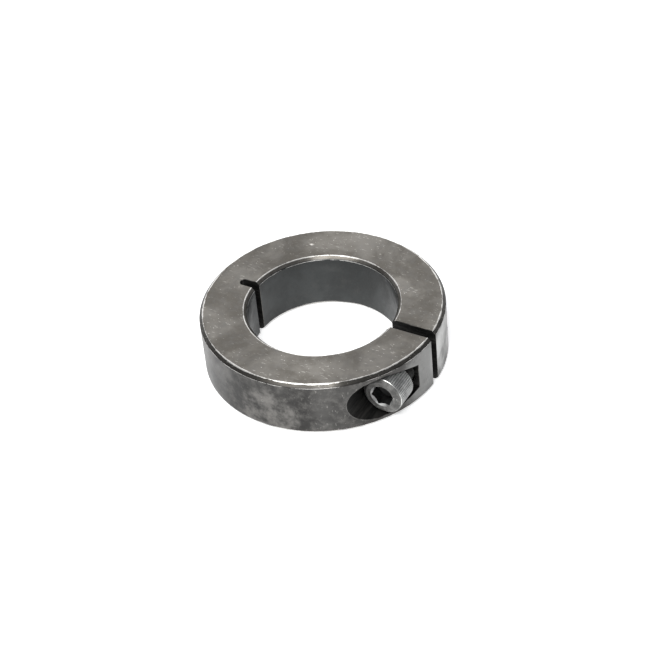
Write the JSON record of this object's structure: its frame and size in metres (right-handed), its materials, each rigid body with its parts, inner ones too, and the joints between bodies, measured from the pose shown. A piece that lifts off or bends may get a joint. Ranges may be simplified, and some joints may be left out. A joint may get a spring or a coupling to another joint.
{
  "type": "shaft collar",
  "caption": "Split steel clamping ring for a shaft, drawn closed by a cap screw that lies across its slit in an open pocket.",
  "frame": {"origin": "centre of the bore at the bottom face", "axes": "+Z along the shaft; the slit points along +X and the screw lies along Y, its head on the -Y side"},
  "size_m": [0.0572, 0.0572, 0.0143],
  "materials": {
    "collar_steel": "worn black oxide, satin",
    "screw_steel": "dusty black oxide, knurled head"
  },
  "bodies": {
    "collar_body": {"collar_body": "collar_steel"},
    "screw_carrier": {"clamp_screw_core": "screw_steel"},
    "clamp_screw": {"clamp_screw": "screw_steel"}
  },
  "joints": [
    {"name": "screw_travel", "type": "slide", "parent": "collar_body", "child": "screw_carrier", "axis": [0, 1, 0], "range_m": [-0.00363, 0.00315]},
    {"name": "screw_turn", "type": "hinge", "parent": "screw_carrier", "child": "clamp_screw", "pos_m": [0.02326, 0, 0.00714], "axis": [0, 1, 0], "range_deg": [-1440, 1250.1]}
  ],
  "couplings": [
    {"joint": "screw_turn", "follows": "screw_travel", "rad_per_m": 6926.3}
  ]
}
